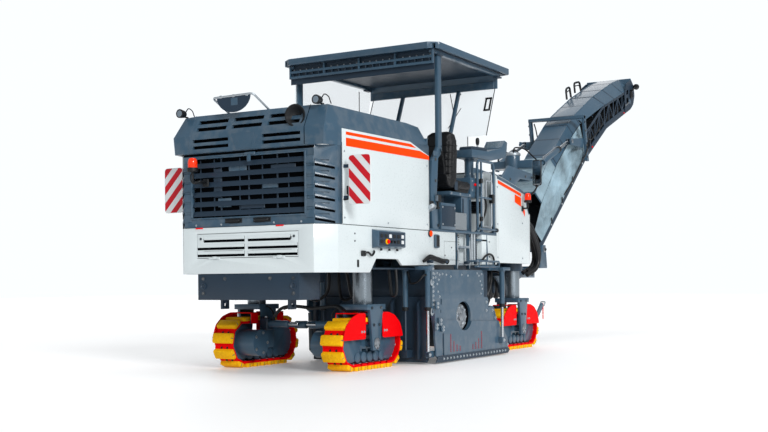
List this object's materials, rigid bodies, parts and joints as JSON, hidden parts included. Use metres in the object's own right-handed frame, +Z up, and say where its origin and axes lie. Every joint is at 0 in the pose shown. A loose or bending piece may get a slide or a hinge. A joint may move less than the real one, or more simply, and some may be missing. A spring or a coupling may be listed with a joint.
{
  "type": "cold planer milling machine",
  "caption": "Tracked road milling machine with a drum between its tracks, a front loading conveyor, a canopy over the operator's platform and an engine hood at the rear.",
  "frame": {"origin": "on the ground under the centre of the machine's box", "axes": "+X forward towards the conveyor's head, +Y to the machine's left, +Z up"},
  "size_m": [12.352, 2.772, 4.95],
  "materials": {
    "anthracite": "semi-gloss",
    "beacon_orange": "translucent",
    "belt_rubber": "matte",
    "black": "matte",
    "board": "reflective",
    "chrome": "polished",
    "clear_pane": "clear",
    "grey": "semi-gloss",
    "seat_black": "matte",
    "sheet_grey": "matte",
    "shoe_yellow": "matte",
    "steel": "worn",
    "white": "gloss"
  },
  "bodies": {
    "machine": {"boarding_rails": "grey", "canopy_posts": "grey", "canopy_roof": "anthracite", "console": "grey", "control_box": "grey", "cooler_block": "anthracite", "drum_housing": "anthracite", "engine_block": "steel", "front_beacon": "beacon_orange", "front_body": "white", "front_bracket": "grey", "front_carrier": "anthracite", "lower_body": "white", "main_frame": "anthracite", "mirror": "black", "platform": "anthracite", "primary_conveyor": "anthracite", "ram_mounts": "anthracite", "rear_beam": "anthracite", "rear_carrier": "anthracite", "seat": "seat_black", "windscreen": "clear_pane"},
    "leg_rear_left": {"column_rear_left": "chrome"},
    "track_rear_left": {"track_frame_rear_left": "grey", "track_loop_rear_left": "shoe_yellow"},
    "leg_rear_right": {"column_rear_right": "chrome"},
    "track_rear_right": {"track_frame_rear_right": "grey", "track_loop_rear_right": "shoe_yellow"},
    "leg_front_left": {"column_front_left": "chrome"},
    "track_front_left": {"track_frame_front_left": "grey", "track_loop_front_left": "shoe_yellow"},
    "leg_front_right": {"column_front_right": "chrome"},
    "track_front_right": {"track_frame_front_right": "grey", "track_loop_front_right": "shoe_yellow"},
    "drum": {"milling_drum": "steel"},
    "side_plate_right": {"side_plate_right": "grey"},
    "side_plate_left": {"side_plate_left": "grey"},
    "scraper": {"scraper": "grey"},
    "rear_hatch": {"rear_hatch": "white"},
    "hood": {"hood_shell": "anthracite", "rear_grille": "anthracite", "hood_sides": "white", "warning_boards": "board", "signal_hoop": "anthracite", "beacon": "beacon_orange", "hood_lamps": "black"},
    "slew": {"slew_frame": "anthracite"},
    "boom": {"boom_frame": "grey", "boom_belt": "belt_rubber", "boom_cover": "grey", "boom_sheets": "sheet_grey", "cross_frame": "anthracite", "boom_hoops": "black", "boom_lamp": "black"},
    "ram_barrels": {"ram_barrels": "anthracite"},
    "ram_rods": {"ram_rods": "chrome"}
  },
  "joints": [
    {"name": "drum_spin", "type": "hinge", "parent": "machine", "child": "drum", "pos_m": [-3.05, 0, 0.55], "axis": [0, 1, 0], "continuous": true},
    {"name": "conveyor_slew", "type": "hinge", "parent": "machine", "child": "slew", "pos_m": [1.1, 0, 1.15], "axis": [0, 0, 1], "range_deg": [-50, 50]},
    {"name": "conveyor_lift", "type": "hinge", "parent": "slew", "child": "boom", "pos_m": [1.16, 0, 1.48], "axis": [0, -1, 0], "range_deg": [-22, 6]},
    {"name": "ram_tilt", "type": "hinge", "parent": "slew", "child": "ram_barrels", "pos_m": [1.3, 0, 2.86], "axis": [0, -1, 0], "range_deg": [-28.5, 8.2]},
    {"name": "ram_stroke", "type": "slide", "parent": "ram_barrels", "child": "ram_rods", "axis": [0.9285, 0, 0.3714], "range_m": [-0.16, 0.54]},
    {"name": "hood_open", "type": "hinge", "parent": "machine", "child": "hood", "pos_m": [-3.812, 0, 2.79], "axis": [0, 1, 0], "range_deg": [0, 45]},
    {"name": "rear_hatch_open", "type": "hinge", "parent": "machine", "child": "rear_hatch", "pos_m": [-6.056, 0, 1.25], "axis": [0, -1, 0], "range_deg": [0, 95]},
    {"name": "side_plate_right_float", "type": "slide", "parent": "machine", "child": "side_plate_right", "axis": [0, 0, 1], "range_m": [0, 0.3]},
    {"name": "side_plate_left_float", "type": "slide", "parent": "machine", "child": "side_plate_left", "axis": [0, 0, 1], "range_m": [0, 0.3]},
    {"name": "scraper_lift", "type": "slide", "parent": "machine", "child": "scraper", "axis": [0, 0, 1], "range_m": [0, 0.3]},
    {"name": "lift_rear_left", "type": "slide", "parent": "machine", "child": "leg_rear_left", "axis": [0, 0, 1], "range_m": [-0.1, 0.38]},
    {"name": "steer_rear_left", "type": "hinge", "parent": "leg_rear_left", "child": "track_rear_left", "pos_m": [-4.87, 0.739, 0.73], "axis": [0, 0, 1], "range_deg": [-14, 14]},
    {"name": "lift_rear_right", "type": "slide", "parent": "machine", "child": "leg_rear_right", "axis": [0, 0, 1], "range_m": [-0.1, 0.38]},
    {"name": "steer_rear_right", "type": "hinge", "parent": "leg_rear_right", "child": "track_rear_right", "pos_m": [-4.87, -0.739, 0.73], "axis": [0, 0, 1], "range_deg": [-14, 14]},
    {"name": "lift_front_left", "type": "slide", "parent": "machine", "child": "leg_front_left", "axis": [0, 0, 1], "range_m": [-0.1, 0.38]},
    {"name": "steer_front_left", "type": "hinge", "parent": "leg_front_left", "child": "track_front_left", "pos_m": [-0.67, 0.739, 0.73], "axis": [0, 0, 1], "range_deg": [-25, 25]},
    {"name": "lift_front_right", "type": "slide", "parent": "machine", "child": "leg_front_right", "axis": [0, 0, 1], "range_m": [-0.1, 0.38]},
    {"name": "steer_front_right", "type": "hinge", "parent": "leg_front_right", "child": "track_front_right", "pos_m": [-0.67, -0.739, 0.73], "axis": [0, 0, 1], "range_deg": [-25, 25]}
  ],
  "couplings": [
    {"joint": "ram_tilt", "follows": "conveyor_lift", "ratio": 1.29},
    {"joint": "ram_stroke", "follows": "conveyor_lift", "m_per_rad": -1.36},
    {"joint": "steer_front_right", "follows": "steer_front_left", "ratio": 1},
    {"joint": "steer_rear_right", "follows": "steer_rear_left", "ratio": 1}
  ]
}
